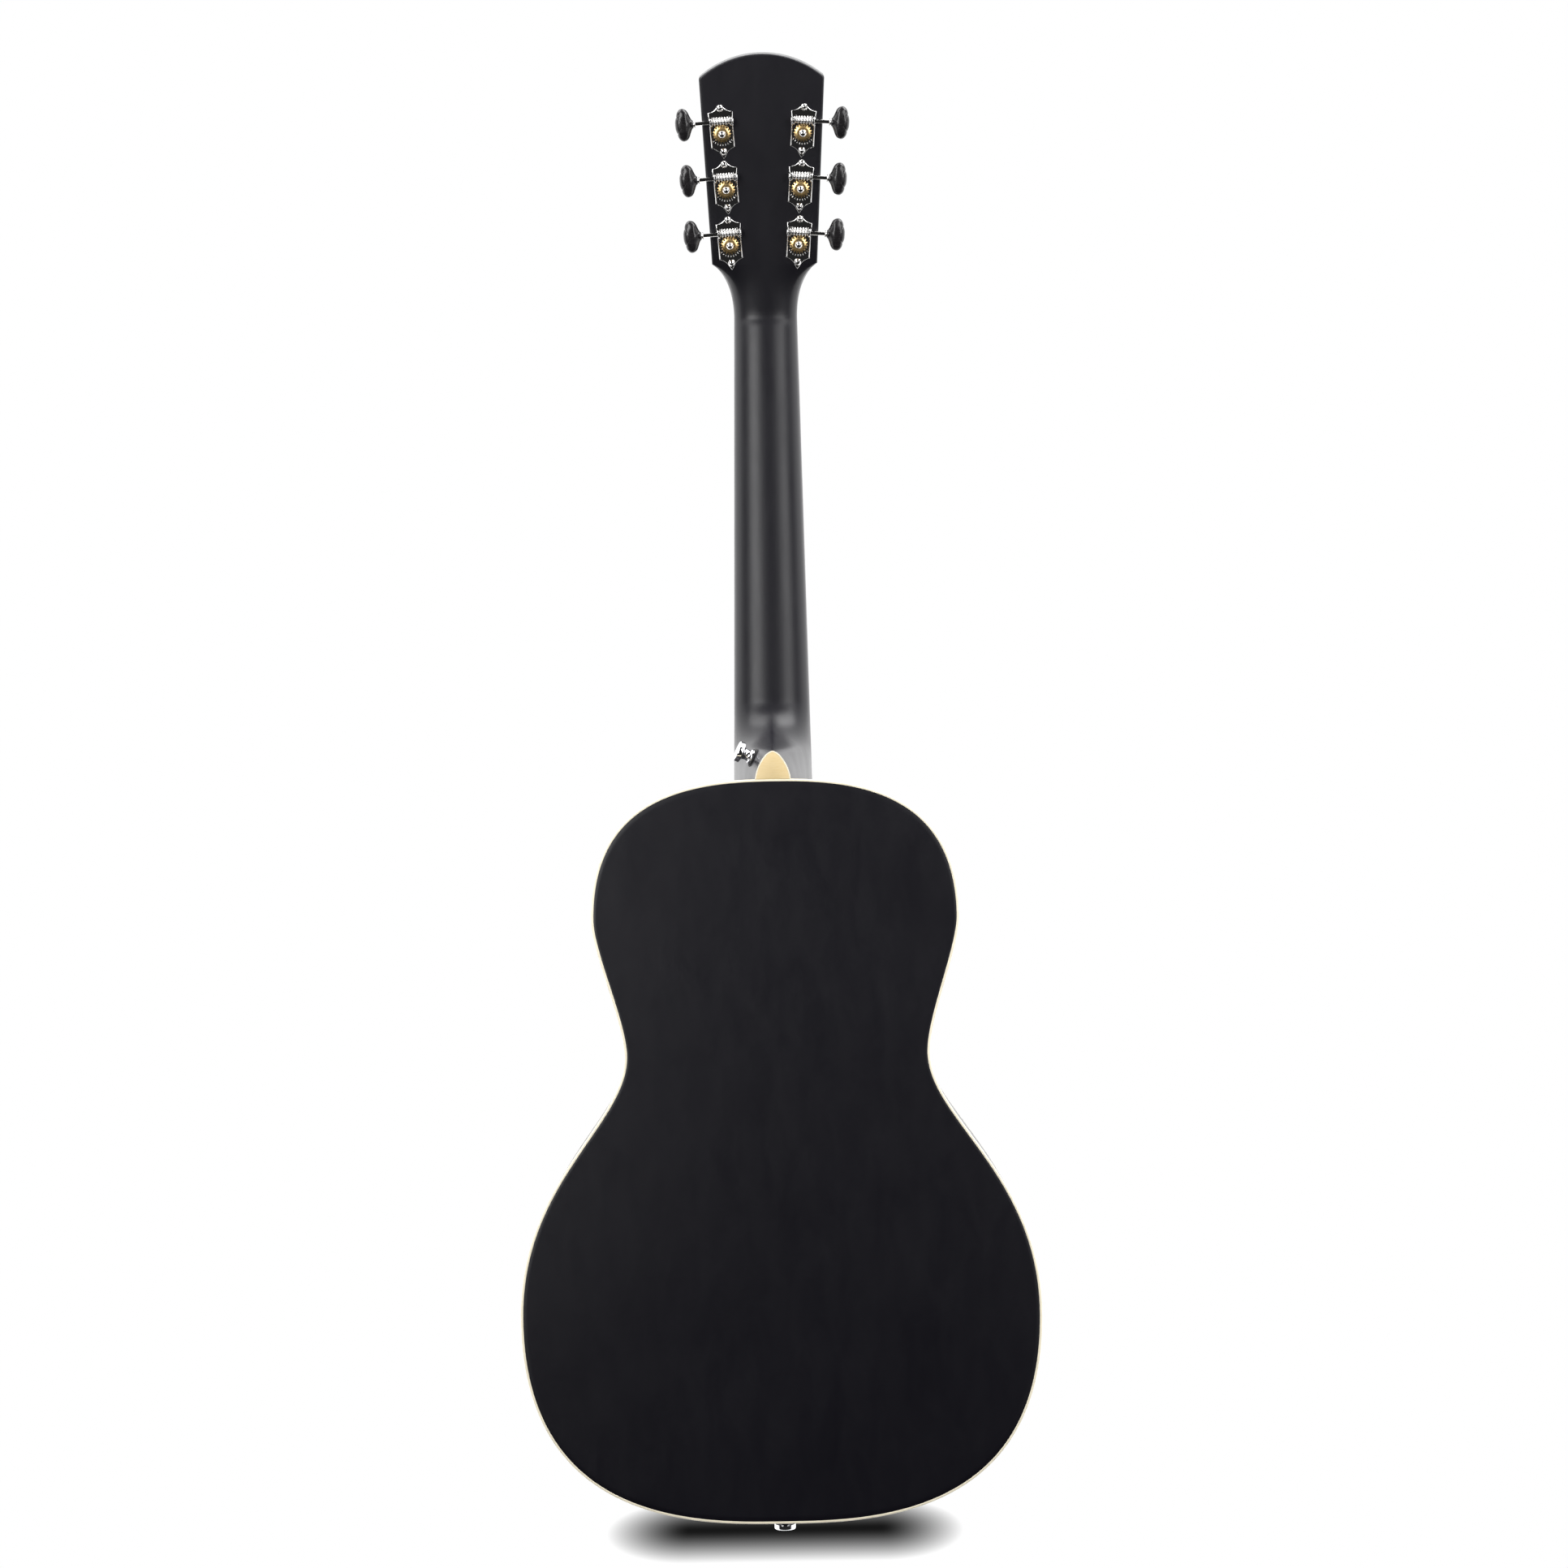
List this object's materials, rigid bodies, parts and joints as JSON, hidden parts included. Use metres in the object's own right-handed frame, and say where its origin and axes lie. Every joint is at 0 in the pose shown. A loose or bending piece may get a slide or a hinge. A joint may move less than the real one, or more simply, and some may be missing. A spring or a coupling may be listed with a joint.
{
  "type": "acoustic guitar",
  "caption": "Twelve-fret parlor steel-string guitar with bound body, glued heel, slanted solid headstock, open-gear tuners that turn, and strap buttons.",
  "frame": {"origin": "centre of the rim of the strap button at the tail", "axes": "+Z from the tail to the head, +Y out of the back, +X to the treble side"},
  "size_m": [0.3414, 0.1179, 0.9865],
  "materials": {
    "black_lacquer": "satin",
    "soundboard_spruce": "satin",
    "inner_wood": "raw",
    "dark_wood": "satin",
    "cream_plastic": "gloss",
    "bone": "satin",
    "fret_wire": "polished",
    "rod_steel": "plain",
    "string_wire": "plain",
    "polished_nickel": "polished",
    "black_felt": "felt",
    "gear_brass": "polished",
    "button_plastic": "gloss",
    "wound_string": "plain"
  },
  "bodies": {
    "guitar": {"neck": "black_lacquer", "headstock_overlay": "black_lacquer", "fingerboard": "dark_wood", "frets": "fret_wire", "position_dots": "bone", "nut": "bone", "truss_rod": "rod_steel", "truss_rod_cover": "black_lacquer", "heel_cap": "cream_plastic", "soundboard": "soundboard_spruce", "rosette": "cream_plastic", "back": "black_lacquer", "side_bass": "black_lacquer", "side_treble": "black_lacquer", "top_binding": "cream_plastic", "back_binding": "cream_plastic", "linings": "inner_wood", "neck_block": "inner_wood", "tail_block": "inner_wood", "top_braces": "inner_wood", "back_braces": "inner_wood", "bridge": "dark_wood", "saddle": "bone", "bridge_pins": "bone", "strings": "string_wire", "strap_buttons": "polished_nickel", "strap_washers": "black_felt", "tuner_plates": "polished_nickel", "tuner_bushings": "polished_nickel", "screws": "polished_nickel"},
    "knob_1": {"tuner_button_1": "button_plastic", "worm_shaft_1": "polished_nickel"},
    "post_1": {"string_post_1": "polished_nickel", "gear_1": "gear_brass", "string_coil_1": "wound_string"},
    "knob_2": {"tuner_button_2": "button_plastic", "worm_shaft_2": "polished_nickel"},
    "post_2": {"string_post_2": "polished_nickel", "gear_2": "gear_brass", "string_coil_2": "wound_string"},
    "knob_3": {"tuner_button_3": "button_plastic", "worm_shaft_3": "polished_nickel"},
    "post_3": {"string_post_3": "polished_nickel", "gear_3": "gear_brass", "string_coil_3": "wound_string"},
    "knob_4": {"tuner_button_4": "button_plastic", "worm_shaft_4": "polished_nickel"},
    "post_4": {"string_post_4": "polished_nickel", "gear_4": "gear_brass", "string_coil_4": "wound_string"},
    "knob_5": {"tuner_button_5": "button_plastic", "worm_shaft_5": "polished_nickel"},
    "post_5": {"string_post_5": "polished_nickel", "gear_5": "gear_brass", "string_coil_5": "wound_string"},
    "knob_6": {"tuner_button_6": "button_plastic", "worm_shaft_6": "polished_nickel"},
    "post_6": {"string_post_6": "polished_nickel", "gear_6": "gear_brass", "string_coil_6": "wound_string"}
  },
  "joints": [
    {"name": "knob_1_turn", "type": "hinge", "parent": "guitar", "child": "knob_1", "pos_m": [0.02368, -0.01899, 0.865], "axis": [0.9976, -0.0181, -0.0674], "continuous": true},
    {"name": "post_1_turn", "type": "hinge", "parent": "guitar", "child": "post_1", "pos_m": [0.0231, -0.02576, 0.85829], "axis": [0, 0.9659, -0.2588], "continuous": true},
    {"name": "knob_2_turn", "type": "hinge", "parent": "guitar", "child": "knob_2", "pos_m": [0.02548, -0.00937, 0.90093], "axis": [0.9976, -0.0181, -0.0674], "continuous": true},
    {"name": "post_2_turn", "type": "hinge", "parent": "guitar", "child": "post_2", "pos_m": [0.0249, -0.01613, 0.89423], "axis": [0, 0.9659, -0.2588], "continuous": true},
    {"name": "knob_3_turn", "type": "hinge", "parent": "guitar", "child": "knob_3", "pos_m": [0.02758, 0.00026, 0.93687], "axis": [0.9976, -0.0181, -0.0674], "continuous": true},
    {"name": "post_3_turn", "type": "hinge", "parent": "guitar", "child": "post_3", "pos_m": [0.027, -0.0065, 0.93016], "axis": [0, 0.9659, -0.2588], "continuous": true},
    {"name": "knob_4_turn", "type": "hinge", "parent": "guitar", "child": "knob_4", "pos_m": [-0.02758, 0.00026, 0.93687], "axis": [-0.9976, -0.0181, -0.0674], "continuous": true},
    {"name": "post_4_turn", "type": "hinge", "parent": "guitar", "child": "post_4", "pos_m": [-0.027, -0.0065, 0.93016], "axis": [0, 0.9659, -0.2588], "continuous": true},
    {"name": "knob_5_turn", "type": "hinge", "parent": "guitar", "child": "knob_5", "pos_m": [-0.02548, -0.00937, 0.90093], "axis": [-0.9976, -0.0181, -0.0674], "continuous": true},
    {"name": "post_5_turn", "type": "hinge", "parent": "guitar", "child": "post_5", "pos_m": [-0.0249, -0.01613, 0.89423], "axis": [0, 0.9659, -0.2588], "continuous": true},
    {"name": "knob_6_turn", "type": "hinge", "parent": "guitar", "child": "knob_6", "pos_m": [-0.02368, -0.01899, 0.865], "axis": [-0.9976, -0.0181, -0.0674], "continuous": true},
    {"name": "post_6_turn", "type": "hinge", "parent": "guitar", "child": "post_6", "pos_m": [-0.0231, -0.02576, 0.85829], "axis": [0, 0.9659, -0.2588], "continuous": true}
  ],
  "couplings": [
    {"joint": "post_1_turn", "follows": "knob_1_turn", "ratio": -0.055556},
    {"joint": "post_2_turn", "follows": "knob_2_turn", "ratio": -0.055556},
    {"joint": "post_3_turn", "follows": "knob_3_turn", "ratio": -0.055556},
    {"joint": "post_4_turn", "follows": "knob_4_turn", "ratio": -0.055556},
    {"joint": "post_5_turn", "follows": "knob_5_turn", "ratio": -0.055556},
    {"joint": "post_6_turn", "follows": "knob_6_turn", "ratio": -0.055556}
  ]
}
